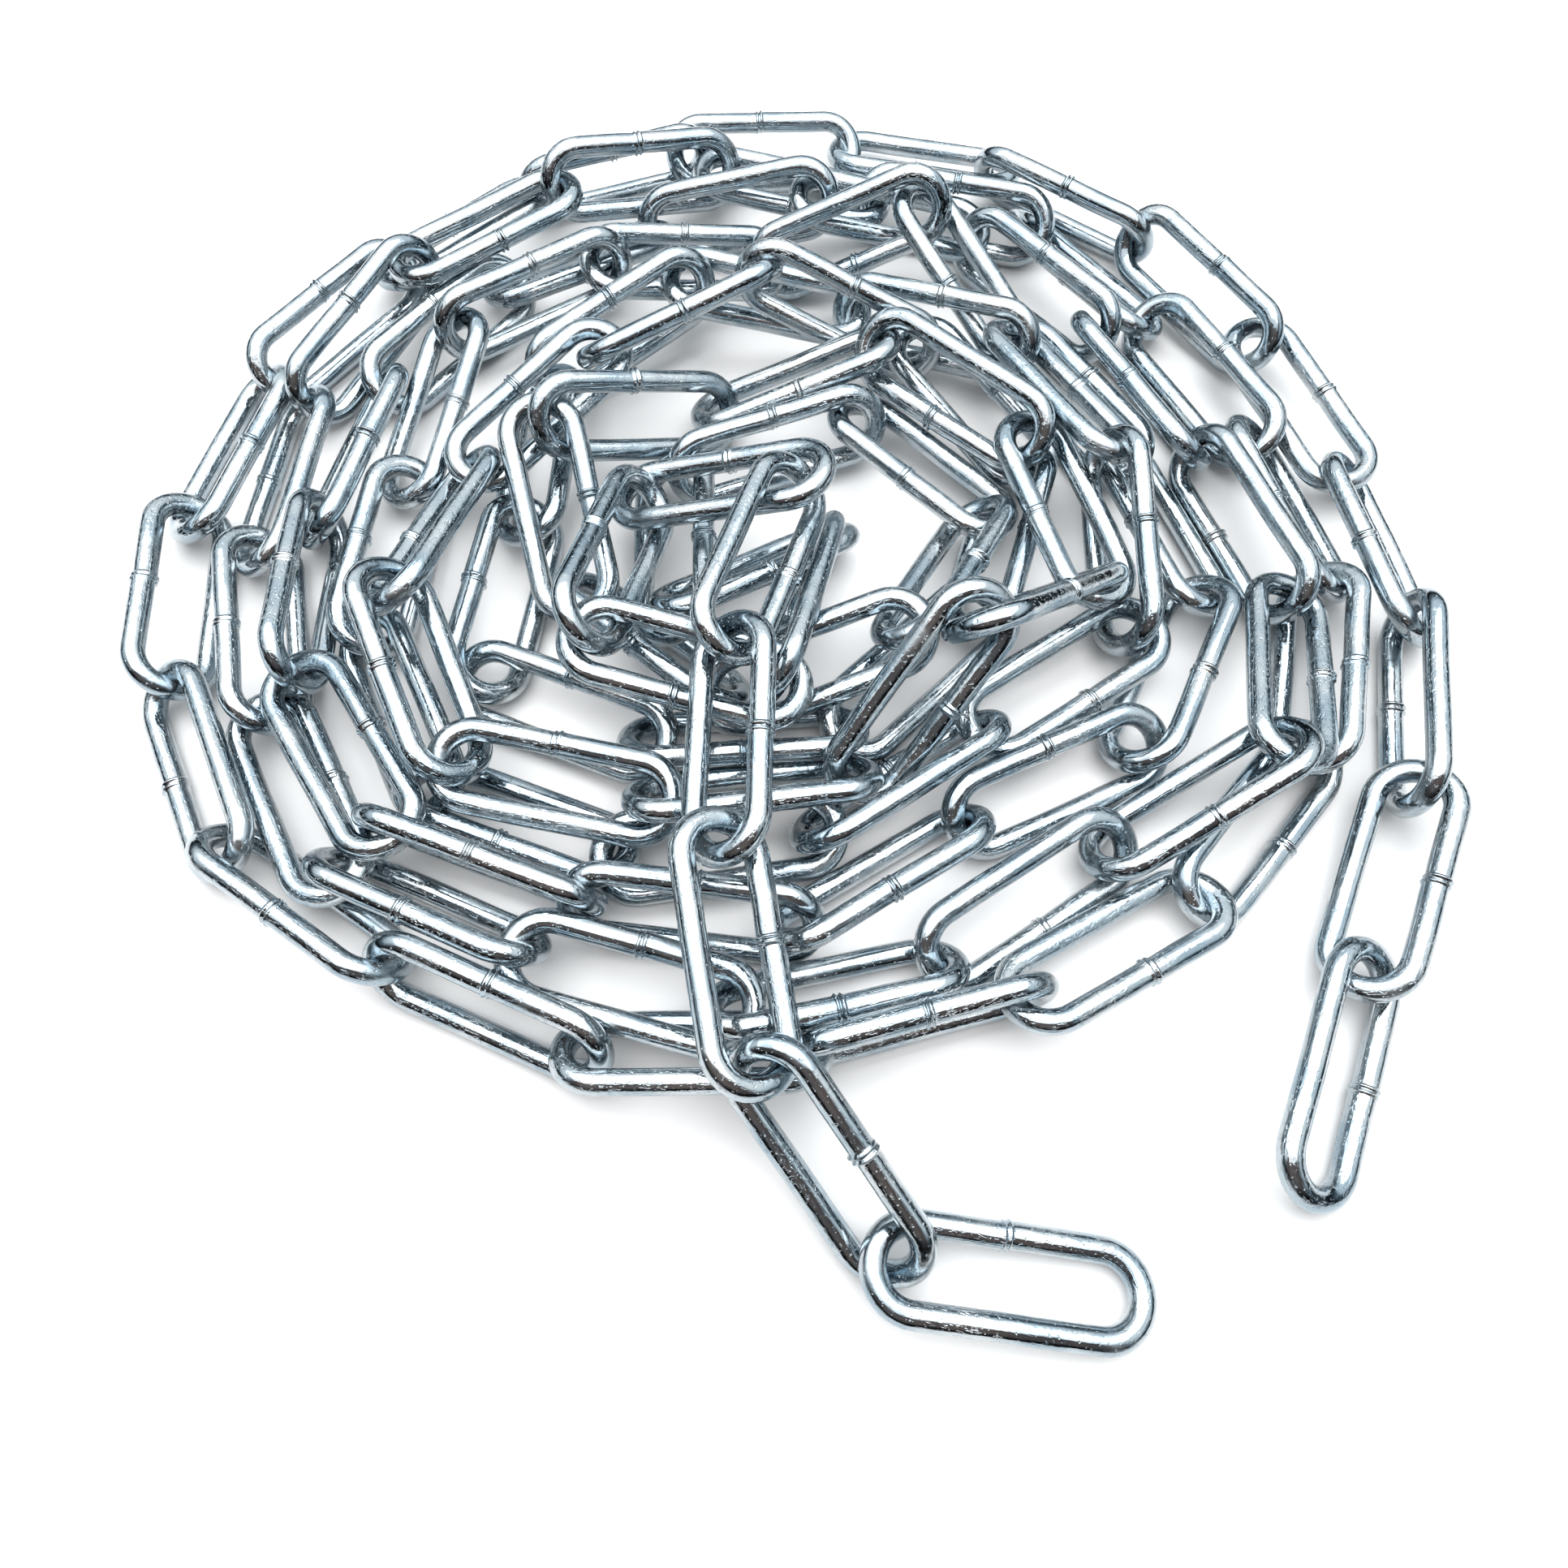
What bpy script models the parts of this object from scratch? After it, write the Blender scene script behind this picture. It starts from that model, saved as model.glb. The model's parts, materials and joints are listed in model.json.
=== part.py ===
"""A loose heap of long-link steel chain, laid as a flat coil with both ends drawn out of it.

Metres, +Z up, resting on Z = 0. Every link is the same closed loop of wire. A hand-laid route gives the
place of each link, and a short settling pass then moves the links as rigid bodies until none of them
passes through another or through the floor.
"""
import math

import bmesh
import bpy
import numpy as np
from mathutils import Matrix, Vector

MM = 0.001

# The link, in millimetres: 3 mm wire, 26 mm inner length, 6 mm inner width
WIRE = 3.0
PITCH = 26.0
OUTER_WIDTH = 12.0
OUTER_LENGTH = PITCH + 2.0 * WIRE
ARC_RADIUS = (OUTER_WIDTH - WIRE) / 2.0
ARC_CENTRE = (OUTER_LENGTH - OUTER_WIDTH) / 2.0
CROWN = ARC_CENTRE + ARC_RADIUS
ARC_SEGMENTS = 5

# The wire's six-sided section: its corners stand slightly outside the round wire, its flats inside
SECTION_RADIUS = 1.6
BEVEL_RESOLUTION = 1

# A join with an edge shorter than this is tried again, the second link nudged, in millimetres
TINY_EDGE = 0.012
NUDGES = 60
NUDGE = 0.015

# Distances between the centre lines of two wires, in millimetres
CLEAR = 2.0 * SECTION_RADIUS + 0.12
BEARING = 2.45

# Points where neighbouring links hang in each other, in order along the chain: across, away, height,
# in millimetres
RIGHT_TAIL = [
    (57.0, -48.5, 1.6), (66.5, -25.5, 3.0), (77.5, -5.5, 4.0), (81.0, 20.0, 4.4),
]
TURN_1 = [
    (78.0, 43.5, 4.4), (70.5, 67.5, 4.4), (54.0, 88.0, 4.4), (34.0, 103.0, 4.4), (10.0, 109.0, 4.4),
    (-16.5, 107.0, 4.4), (-39.0, 99.0, 4.4), (-60.0, 83.0, 4.4), (-75.5, 64.0, 4.4), (-82.5, 37.5, 4.4),
    (-80.5, 11.5, 4.4), (-66.5, -11.0, 4.4), (-45.5, -24.0, 4.4), (-21.5, -35.0, 4.4), (3.0, -34.0, 4.4),
    (29.0, -28.0, 4.4), (50.5, -15.5, 4.4), (66.5, 3.5, 4.4),
]
TURN_2 = [
    (73.0, 27.0, 5.0), (66.0, 52.0, 5.0), (56.5, 74.5, 5.0), (38.5, 95.0, 5.0), (15.5, 100.5, 5.0),
    (-9.5, 104.0, 5.0), (-35.5, 95.0, 5.0), (-54.5, 80.0, 5.0), (-68.0, 57.5, 5.0), (-71.5, 32.0, 5.0),
    (-67.0, 7.0, 5.0), (-54.0, -13.5, 5.0), (-30.0, -25.0, 5.0), (-4.0, -31.0, 5.0), (18.0, -21.5, 5.0),
    (38.5, -9.0, 5.0), (60.0, 2.0, 5.0),
]
TURN_3 = [
    (65.5, 25.0, 6.0), (57.5, 47.5, 6.0), (48.0, 71.0, 6.0), (29.5, 88.5, 6.0), (3.5, 95.5, 6.0),
    (-19.0, 91.5, 6.0), (-40.5, 81.0, 6.0), (-57.5, 60.0, 6.0), (-64.0, 36.0, 6.0), (-59.5, 11.0, 6.0),
    (-45.0, -9.5, 6.0), (-21.5, -18.5, 6.0), (1.0, -18.0, 6.0), (20.5, -4.5, 6.0), (43.0, 6.0, 6.0),
    (52.5, 25.0, 6.0),
]
TURN_4 = [
    (47.0, 47.5, 7.5), (33.5, 70.5, 7.5), (18.0, 84.0, 7.5), (-2.0, 84.5, 7.5), (-25.0, 81.0, 7.5),
    (-45.0, 65.0, 7.5), (-50.5, 44.0, 7.5), (-54.0, 22.0, 7.5), (-42.0, -0.5, 7.5), (-20.5, -8.5, 7.5),
    (3.0, -7.5, 7.5), (25.0, 6.0, 7.5), (42.0, 19.0, 7.5), (43.5, 44.0, 7.5),
]
TURN_5 = [
    (29.5, 65.0, 9.5), (8.0, 73.5, 9.5), (-13.0, 77.5, 9.5), (-34.5, 62.0, 9.5), (-35.5, 36.5, 9.5),
    (-34.0, 12.0, 9.5), (-13.0, 5.0, 9.5), (6.0, 9.0, 9.5), (20.5, 24.0, 9.5), (30.5, 44.5, 9.5),
    (16.5, 65.0, 9.5),
]
MIDDLE = [
    (-4.0, 67.0, 11.0), (-24.0, 60.5, 11.5), (-38.0, 43.0, 11.5), (-45.5, 22.5, 12.0), (-37.5, 1.5, 12.0),
    (-15.0, -2.5, 12.5), (8.0, -1.5, 12.5), (24.5, 12.0, 13.0), (36.5, 21.0, 13.0), (32.0, 47.0, 13.5),
    (13.0, 59.5, 13.5), (-10.0, 55.0, 14.0), (-28.5, 47.5, 14.0), (-25.0, 24.0, 14.5), (-5.0, 11.5, 14.5),
    (11.5, 19.5, 15.0), (26.5, 31.5, 15.0), (11.0, 55.5, 15.5), (-10.0, 47.5, 15.5), (-14.5, 20.5, 16.0),
    (2.0, 35.0, 16.0), (-1.5, 9.5, 16.5), (-24.0, 13.5, 16.5), (-18.5, 39.5, 17.0),
]
TOP_STRAND = [
    (5.0, 35.0, 76.0), (-5.0, 11.0, 78.0), (-9.5, -13.5, 68.0), (-3.0, -37.0, 50.0), (12.0, -57.5, 26.0),
    (37.0, -60.0, 4.0),
]
SECTIONS = [
    ("right_tail", RIGHT_TAIL), ("turn_1", TURN_1), ("turn_2", TURN_2), ("turn_3", TURN_3),
    ("turn_4", TURN_4), ("turn_5", TURN_5), ("middle", MIDDLE), ("top_strand", TOP_STRAND),
]

# Links rest tilted one way and the other in turn. The loose ones are given as they lie: the right tail
# and the outer turn, then the top strand, in degrees, with the inner side high where above zero
ROLL = 45.0
OUTER_ROLLS = [
    -15.0, -65.0, -110.0, 48.0, 0.0, -45.0, 80.0, 22.0, -28.0, -84.0, 10.0, -52.0, 40.0, -22.0, 35.0, -33.0,
    80.0, -5.0, -65.0, -12.0, 35.0,
]
TOP_ROLLS = [40.0, -35.0, 50.0, -20.0, 45.0, 12.0]

# The settling pass: inner turns start higher, sink onto the ones below, then overlaps are worked out
RISE_PER_LINK = 0.6
GATHER_STEPS = 100
SINK_STEPS = 1500
REST_STEPS = 1600
SINK = 0.06
PULL = 0.03
STEER = 0.02
PAIR_REFRESH = 10
PAIR_MARGIN = 2.0
OVER_RELAX = 1.25
JOINT_PLAY = 1.2
BEND_PLAY = 1.0
SHARE_POWER = 0.7
ROLL_STIFFNESS = 1.0 / 25.0
TURN_STIFFNESS = 1.0 / 105.0

# Rounding now and then keeps the last digits of two machines from growing apart
PLACE_DIGITS = 6
FRAME_DIGITS = 9

ZINC_COLOUR = (0.50, 0.54, 0.57, 1.0)
ZINC_ROUGHNESS = 0.22


def clear_scene():
    """Removes whatever objects the file starts with."""
    for thing in list(bpy.data.objects):
        bpy.data.objects.remove(thing, do_unlink=True)


def link_loop():
    """The link's centre line in its own frame: x along the link, y across it."""
    points = []
    for side in (1.0, -1.0):
        for k in range(ARC_SEGMENTS + 1):
            angle = math.pi * k / ARC_SEGMENTS - math.pi / 2.0
            along = side * (ARC_CENTRE + ARC_RADIUS * math.cos(angle))
            across = side * ARC_RADIUS * math.sin(angle)
            points.append((along, across, 0.0))
    return np.array(points)


LOOP = link_loop()


def nearest_points(start_a, end_a, start_b, end_b):
    """Nearest points of two straight pieces of wire, row by row."""
    run_a = end_a - start_a
    run_b = end_b - start_b
    between = start_a - start_b
    aa = np.einsum("ij,ij->i", run_a, run_a)
    bb = np.einsum("ij,ij->i", run_b, run_b)
    ab = np.einsum("ij,ij->i", run_a, run_b)
    a_between = np.einsum("ij,ij->i", run_a, between)
    b_between = np.einsum("ij,ij->i", run_b, between)
    spread = np.maximum(aa * bb - ab * ab, 1e-9)
    s = np.clip((ab * b_between - a_between * bb) / spread, 0.0, 1.0)
    t = np.clip((ab * s + b_between) / bb, 0.0, 1.0)
    s = np.clip((ab * t - a_between) / aa, 0.0, 1.0)
    return start_a + run_a * s[:, None], start_b + run_b * t[:, None]


def small_turns(vectors):
    """Rotation matrices for a row of rotation vectors."""
    angle = np.linalg.norm(vectors, axis=1)
    axis = vectors / np.maximum(angle, 1e-12)[:, None]
    cross = np.zeros((len(vectors), 3, 3))
    cross[:, 0, 1] = -axis[:, 2]
    cross[:, 0, 2] = axis[:, 1]
    cross[:, 1, 0] = axis[:, 2]
    cross[:, 1, 2] = -axis[:, 0]
    cross[:, 2, 0] = -axis[:, 1]
    cross[:, 2, 1] = axis[:, 0]
    sine = np.sin(angle)[:, None, None]
    cosine = np.cos(angle)[:, None, None]
    return np.eye(3) + sine * cross + (1.0 - cosine) * (cross @ cross)


class Heap:
    """The links as rigid bodies: a centre and a frame each (along, across, face)."""

    def __init__(self, joints, rolls, fused):
        along = joints[1:] - joints[:-1]
        along /= np.linalg.norm(along, axis=1)[:, None]
        level = np.cross(np.array([0.0, 0.0, 1.0]), along)
        level /= np.linalg.norm(level, axis=1)[:, None]
        upright = np.cross(along, level)
        roll = np.radians(rolls)[:, None]
        across = level * np.cos(roll) + upright * np.sin(roll)
        self.frames = np.stack([along, across, np.cross(along, across)], axis=2)
        heading = np.cross(level, np.array([0.0, 0.0, 1.0]))
        lean = level * np.cos(roll) + np.array([0.0, 0.0, 1.0]) * np.sin(roll)
        self.lie = np.stack([heading, lean, np.cross(heading, lean)], axis=2)
        self.centres = (joints[1:] + joints[:-1]) / 2.0
        self.places = self.centres.copy()
        self.fused = fused
        self.count = len(self.centres)
        self.ease = np.array([ROLL_STIFFNESS, TURN_STIFFNESS, TURN_STIFFNESS])

    def wires(self):
        """Centre-line points of every link, in place."""
        return self.centres[:, None, :] + np.einsum("nij,mj->nmi", self.frames, LOOP)

    def find_pairs(self, gathering=False):
        """Pieces of wire on different links that are near enough to matter.

        While the chain is gathering, neighbours may pass through each other, so each can hang in the next.
        """
        gap = np.linalg.norm(self.centres[:, None] - self.centres[None], axis=2)
        first, second = np.nonzero(np.triu(gap < OUTER_LENGTH + 5.0, 2 if gathering else 1))
        start = self.wires()
        end = np.roll(start, -1, axis=1)
        middle = (start + end) / 2.0
        reach = np.linalg.norm(end - start, axis=2) / 2.0
        apart = np.linalg.norm(middle[first][:, :, None] - middle[second][:, None], axis=3)
        limit = reach[first][:, :, None] + reach[second][:, None] + CLEAR + PAIR_MARGIN
        pair, piece_a, piece_b = np.nonzero(apart < limit)
        link_a = first[pair]
        link_b = second[pair]
        joined = (link_b == link_a + 1) & self.fused[np.minimum(link_a, self.count - 2)]
        least = np.where(joined, BEARING, CLEAR)
        return link_a, link_b, piece_a, piece_b, least

    def contacts(self, pairs):
        """Pairs nearer than they may be: links, points, direction and depth."""
        link_a, link_b, piece_a, piece_b, least = pairs
        start = self.wires()
        end = np.roll(start, -1, axis=1)
        point_a, point_b = nearest_points(
            start[link_a, piece_a], end[link_a, piece_a], start[link_b, piece_b], end[link_b, piece_b])
        apart = point_a - point_b
        distance = np.linalg.norm(apart, axis=1)
        touching = distance < least
        direction = apart[touching] / np.maximum(distance[touching], 1e-6)[:, None]
        depth = (least - distance)[touching]
        return link_a[touching], link_b[touching], point_a[touching], point_b[touching], direction, depth

    def bearings(self):
        """For links that share a piece: their nearest points, and how far they are from bearing."""
        link_a = np.nonzero(self.fused)[0]
        wires = self.wires()
        fore = np.arange(-1, ARC_SEGMENTS + 1)
        aft = fore + ARC_SEGMENTS + 1
        piece_a = np.tile(np.repeat(fore, len(aft)), len(link_a))
        piece_b = np.tile(np.tile(aft, len(fore)), len(link_a))
        rows = np.repeat(link_a, len(fore) * len(aft))
        corner = len(LOOP)
        point_a, point_b = nearest_points(
            wires[rows, piece_a % corner], wires[rows, (piece_a + 1) % corner],
            wires[rows + 1, piece_b % corner], wires[rows + 1, (piece_b + 1) % corner])
        distance = np.linalg.norm(point_a - point_b, axis=1).reshape(len(link_a), -1)
        nearest = distance.argmin(axis=1) + np.arange(len(link_a)) * distance.shape[1]
        point_a = point_a[nearest]
        point_b = point_b[nearest]
        size = np.maximum(distance.min(axis=1), 1e-6)
        direction = (point_a - point_b) / size[:, None]
        return link_a, link_a + 1, point_a, point_b, direction, BEARING - size

    def push(self, shift, turn, hits, links, points, direction, amount):
        """Adds to each link the move that a push at a point gives it."""
        arm = points - self.centres[links]
        local = np.einsum("nji,nj->ni", self.frames[links], np.cross(arm, direction)) * self.ease
        np.add.at(shift, links, amount[:, None] * direction)
        np.add.at(turn, links, amount[:, None] * np.einsum("nij,nj->ni", self.frames[links], local))
        np.add.at(hits, links, 1.0)

    def give(self, links, points, direction):
        """How readily each link moves when pushed at a point."""
        arm = points - self.centres[links]
        local = np.einsum("nji,nj->ni", self.frames[links], np.cross(arm, direction))
        return 1.0 + np.einsum("ni,i,ni->n", local, self.ease, local)

    def part_pairs(self, moves, link_a, link_b, point_a, point_b, direction, depth):
        """Moves two links apart along a direction by a depth."""
        amount = depth / (self.give(link_a, point_a, direction) + self.give(link_b, point_b, direction))
        self.push(*moves, link_a, point_a, direction, amount)
        self.push(*moves, link_b, point_b, direction, -amount)

    def step(self, pairs):
        """One round: hang neighbours in each other, part what touches, lift what is under the floor."""
        moves = (np.zeros((self.count, 3)), np.zeros((self.count, 3)), np.zeros(self.count))
        order = np.arange(self.count - 1)
        along = self.frames[:, :, 0]
        crown_a = self.centres[:-1] + CROWN * along[:-1]
        crown_b = self.centres[1:] - CROWN * along[1:]
        heading = along[:-1] + along[1:]
        heading /= np.linalg.norm(heading, axis=1)[:, None]
        wanted = np.where(self.fused, BEARING, CLEAR)[:, None] * heading
        error = crown_a - crown_b - wanted
        size = np.maximum(np.linalg.norm(error, axis=1), 1e-9)
        bend = 1.0 - np.einsum("ij,ij->i", along[:-1], along[1:])
        excess = np.maximum(size - JOINT_PLAY - BEND_PLAY * bend, 0.0)
        self.part_pairs(moves, order, order + 1, crown_a, crown_b, -error / size[:, None], excess)
        self.part_pairs(moves, *self.bearings())
        found = self.contacts(pairs)
        self.part_pairs(moves, *found)
        wires = self.wires()
        low_link, low_point = np.nonzero(wires[:, :, 2] < SECTION_RADIUS)
        if len(low_link):
            points = wires[low_link, low_point]
            upward = np.tile(np.array([0.0, 0.0, 1.0]), (len(low_link), 1))
            amount = (SECTION_RADIUS - points[:, 2]) / self.give(low_link, points, upward)
            self.push(*moves, low_link, points, upward, amount)
        shift, turn, hits = moves
        share = OVER_RELAX / np.maximum(hits, 1.0)[:, None] ** SHARE_POWER
        self.centres += shift * share
        self.frames = small_turns(turn * share) @ self.frames
        return float(found[5].max()) if len(found[5]) else 0.0

    def steer(self):
        """Turns each link a little towards its heading and its roll on the route; its slope stays free."""
        turn = np.cross(self.frames, self.lie, axisa=1, axisb=1, axisc=1).sum(axis=2) / 2.0
        level = np.cross(np.array([0.0, 0.0, 1.0]), self.frames[:, :, 0])
        level /= np.maximum(np.linalg.norm(level, axis=1), 1e-9)[:, None]
        turn -= np.einsum("ij,ij->i", turn, level)[:, None] * level
        self.frames = small_turns(STEER * turn) @ self.frames

    def settle(self):
        """Runs the whole pass and returns the deepest overlap left, in millimetres."""
        deepest = 0.0
        for index in range(SINK_STEPS + REST_STEPS):
            if index % PAIR_REFRESH == 0:
                pairs = self.find_pairs(gathering=index < GATHER_STEPS)
                left, _, right = np.linalg.svd(self.frames)
                self.frames = np.round(left @ right, FRAME_DIGITS)
                self.centres = np.round(self.centres, PLACE_DIGITS)
            if GATHER_STEPS <= index < SINK_STEPS:
                self.centres[:, 2] -= SINK
                self.centres[:, :2] += PULL * (self.places[:, :2] - self.centres[:, :2])
                self.steer()
            deepest = self.step(pairs)
        return deepest


def lay_route():
    """The joints of the chain in millimetres, and the name of the section each link belongs to."""
    joints = []
    names = []
    rise = 0.0
    for name, points in SECTIONS:
        for across, away, height in points:
            if name not in ("right_tail", "turn_1", "top_strand"):
                rise += RISE_PER_LINK
            joints.append((across, away, height if name == "top_strand" else height + rise))
            names.append(name)
    return np.array(joints), names[1:]


def lean_links(count):
    """The roll of every link about its length, in degrees."""
    rolls = np.where(np.arange(count) % 2 == 0, ROLL, -ROLL)
    rolls[:len(OUTER_ROLLS)] = OUTER_ROLLS
    rolls[-len(TOP_ROLLS):] = TOP_ROLLS
    return rolls


def group_links(names):
    """Ends stay single links; the others go two by two, each pair one piece joined where it bears."""
    count = len(names)
    groups = []
    index = 0
    while index < count:
        single = names[index] in ("right_tail", "top_strand") or index == count - 1
        if single or names[index + 1] == "top_strand":
            groups.append([index])
            index += 1
        else:
            groups.append([index, index + 1])
            index += 2
    return groups


def zinc():
    """Bright zinc plating."""
    material = bpy.data.materials.new("bright_zinc")
    material.use_nodes = True
    shader = material.node_tree.nodes["Principled BSDF"]
    shader.inputs["Base Color"].default_value = ZINC_COLOUR
    shader.inputs["Metallic"].default_value = 1.0
    shader.inputs["Roughness"].default_value = ZINC_ROUGHNESS
    return material


def link_mesh():
    """One link, swept from its centre line as a six-sided wire, as a closed mesh."""
    curve = bpy.data.curves.new("link_wire", "CURVE")
    curve.dimensions = "3D"
    curve.bevel_depth = SECTION_RADIUS * MM
    curve.bevel_resolution = BEVEL_RESOLUTION
    curve.use_fill_caps = False
    spline = curve.splines.new("POLY")
    spline.points.add(len(LOOP) - 1)
    for point, place in zip(spline.points, LOOP):
        point.co = (place[0] * MM, place[1] * MM, 0.0, 1.0)
    spline.use_cyclic_u = True
    wire = bpy.data.objects.new("link_wire", curve)
    bpy.context.scene.collection.objects.link(wire)
    bpy.context.view_layer.update()
    evaluated = wire.evaluated_get(bpy.context.evaluated_depsgraph_get())
    mesh = bpy.data.meshes.new_from_object(evaluated)
    mesh.name = "link"
    bpy.data.objects.remove(wire, do_unlink=True)
    return mesh


def place_link(name, mesh, centre, frame, collection):
    """An object for one link, standing where the heap has it."""
    thing = bpy.data.objects.new(name, mesh)
    matrix = Matrix([list(row) for row in frame]).to_4x4()
    matrix.translation = (centre[0] * MM, centre[1] * MM, centre[2] * MM)
    thing.matrix_world = matrix
    collection.objects.link(thing)
    return thing


def is_sound(mesh):
    """Whether a mesh is one closed body without edges too short to keep, also once cut into triangles."""
    body = bmesh.new()
    body.from_mesh(mesh)
    bmesh.ops.triangulate(body, faces=body.faces[:])
    closed = all(edge.is_manifold for edge in body.edges)
    shortest = min(edge.calc_length() for edge in body.edges)
    body.verts.ensure_lookup_table()
    reached = {body.verts[0]}
    waiting = [body.verts[0]]
    while waiting:
        corner = waiting.pop()
        for edge in corner.link_edges:
            other = edge.other_vert(corner)
            if other not in reached:
                reached.add(other)
                waiting.append(other)
    whole = len(reached) == len(body.verts)
    body.free()
    return closed and whole and shortest > TINY_EDGE * MM


def join_pair(first, second, collection):
    """Makes one closed body of two links that bear on each other.

    Where the join comes out with needle-thin edges, the second link is nudged a little and joined again.
    """
    union = first.modifiers.new("bearing", "BOOLEAN")
    union.operation = "UNION"
    union.solver = "EXACT"
    union.object = second
    home = second.matrix_world.translation.copy()
    toward = (first.matrix_world.translation - home).normalized()
    sound = False
    for attempt in range(NUDGES):
        aside = Vector((math.sin(2.4 * attempt), math.cos(2.4 * attempt), math.sin(1.3 * attempt)))
        second.matrix_world.translation = home + (aside * 0.5 + toward * 0.3) * NUDGE * attempt * MM
        bpy.context.view_layer.update()
        evaluated = first.evaluated_get(bpy.context.evaluated_depsgraph_get())
        mesh = bpy.data.meshes.new_from_object(evaluated)
        sound = is_sound(mesh)
        if sound:
            break
    if not sound:
        print(f"no sound join for {first.name}")
    joined = bpy.data.objects.new("joined", mesh)
    joined.matrix_world = first.matrix_world.copy()
    collection.objects.link(joined)
    bpy.data.objects.remove(first, do_unlink=True)
    bpy.data.objects.remove(second, do_unlink=True)
    return joined


def node_name(names, group):
    """Section and link numbers, such as turn_2_links_023_024."""
    first = group[0]
    if first == 0:
        return "right_tail_end_link"
    if group[-1] == len(names) - 1:
        return "top_strand_end_link"
    if len(group) == 1:
        return f"{names[first]}_link_{first + 1:03d}"
    return f"{names[first]}_links_{first + 1:03d}_{group[-1] + 1:03d}"


def centre_on_origin(things):
    """Moves all the objects together, so that the middle of the heap's footprint is at X = Y = 0, Z = 0."""
    bpy.context.view_layer.update()
    corners = np.array([thing.matrix_world @ corner.co for thing in things for corner in thing.data.vertices])
    low = corners.min(axis=0)
    high = corners.max(axis=0)
    offset = Vector(((low[0] + high[0]) / 2.0, (low[1] + high[1]) / 2.0, low[2]))
    for thing in things:
        thing.matrix_world.translation -= offset
    print(f"moved by {-offset.x:.6f}, {-offset.y:.6f}, {-offset.z:.6f} m")


def main():
    clear_scene()
    collection = bpy.data.collections.new("chain_heap")
    bpy.context.scene.collection.children.link(collection)
    joints, names = lay_route()
    groups = group_links(names)
    fused = np.zeros(len(names) - 1, dtype=bool)
    for group in groups:
        if len(group) == 2:
            fused[group[0]] = True
    heap = Heap(joints, lean_links(len(names)), fused)
    deepest = heap.settle()
    print(f"links {heap.count}, pieces {len(groups)}, deepest overlap left {deepest:.4f} mm")
    mesh = link_mesh()
    material = zinc()
    mesh.materials.append(material)
    for polygon in mesh.polygons:
        polygon.use_smooth = True
    pieces = []
    for group in groups:
        name = node_name(names, group)
        links = [place_link(f"{name}_{k}", mesh, heap.centres[k], heap.frames[k], collection) for k in group]
        piece = join_pair(links[0], links[1], collection) if len(links) == 2 else links[0]
        piece.name = name
        pieces.append(piece)
    centre_on_origin(pieces)


main()
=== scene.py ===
"""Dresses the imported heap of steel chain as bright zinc-plated links on a pale studio floor.

Each CAD node holds one or two coarse six-sided links. This script reads where each of those links lies,
puts a round, welded link of drawn wire in its place, and gives it a bright zinc finish. Lengths in the
dataclasses are in millimetres; Blender's own are in metres.
"""
import sys

import json
import logging
import math
from dataclasses import dataclass, field
from enum import Enum

import bpy
import numpy as np
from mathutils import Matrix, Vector

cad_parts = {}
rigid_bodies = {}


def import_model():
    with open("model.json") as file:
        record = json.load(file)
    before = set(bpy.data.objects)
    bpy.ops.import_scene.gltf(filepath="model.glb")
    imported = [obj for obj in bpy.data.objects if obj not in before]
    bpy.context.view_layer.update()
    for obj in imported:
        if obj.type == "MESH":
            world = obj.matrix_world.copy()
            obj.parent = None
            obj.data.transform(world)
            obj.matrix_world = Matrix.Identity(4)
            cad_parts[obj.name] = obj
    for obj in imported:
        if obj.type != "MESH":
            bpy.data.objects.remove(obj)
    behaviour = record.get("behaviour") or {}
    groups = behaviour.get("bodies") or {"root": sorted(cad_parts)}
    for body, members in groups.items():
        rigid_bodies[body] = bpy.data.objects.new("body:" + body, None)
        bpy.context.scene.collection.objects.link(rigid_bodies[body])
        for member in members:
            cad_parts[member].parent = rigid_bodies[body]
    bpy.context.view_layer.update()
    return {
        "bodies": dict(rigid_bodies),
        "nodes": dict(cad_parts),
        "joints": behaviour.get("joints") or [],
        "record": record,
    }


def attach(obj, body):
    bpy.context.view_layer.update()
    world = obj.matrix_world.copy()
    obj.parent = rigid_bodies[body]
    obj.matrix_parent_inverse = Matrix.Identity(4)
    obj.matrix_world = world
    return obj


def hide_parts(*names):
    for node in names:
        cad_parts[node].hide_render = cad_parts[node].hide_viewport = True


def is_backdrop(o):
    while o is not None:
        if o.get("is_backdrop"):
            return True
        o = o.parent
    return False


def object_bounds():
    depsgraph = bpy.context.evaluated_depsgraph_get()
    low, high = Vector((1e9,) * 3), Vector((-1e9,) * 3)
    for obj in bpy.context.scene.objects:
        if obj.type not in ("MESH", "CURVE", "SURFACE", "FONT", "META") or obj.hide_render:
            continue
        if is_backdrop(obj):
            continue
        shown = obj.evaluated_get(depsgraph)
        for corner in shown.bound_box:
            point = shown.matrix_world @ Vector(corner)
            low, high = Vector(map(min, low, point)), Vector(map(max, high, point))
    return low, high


MM = 0.001
FULL_TURN = 2.0 * math.pi
WIRE_PLACE = "wire_place"
BODY = "root"
PHOTO_PIXELS = 1932
SENSOR_MM = 36.0
MIX_COLOUR_A = 6
MIX_COLOUR_B = 7
MIX_COLOUR_RESULT = 2

log = logging.getLogger("chain")


def linear(hex_colour: str) -> tuple[float, float, float, float]:
    """Turns an sRGB hex colour into linear values for a shader socket, by the sRGB standard's own formula.

    Args:
        hex_colour: Six hex digits, red first.

    Returns:
        Linear red, green and blue, and an alpha of one.
    """
    parts = [int(hex_colour[k:k + 2], 16) / 255.0 for k in (0, 2, 4)]
    bent = [p / 12.92 if p <= 0.04045 else ((p + 0.055) / 1.055) ** 2.4 for p in parts]
    return bent[0], bent[1], bent[2], 1.0


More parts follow.
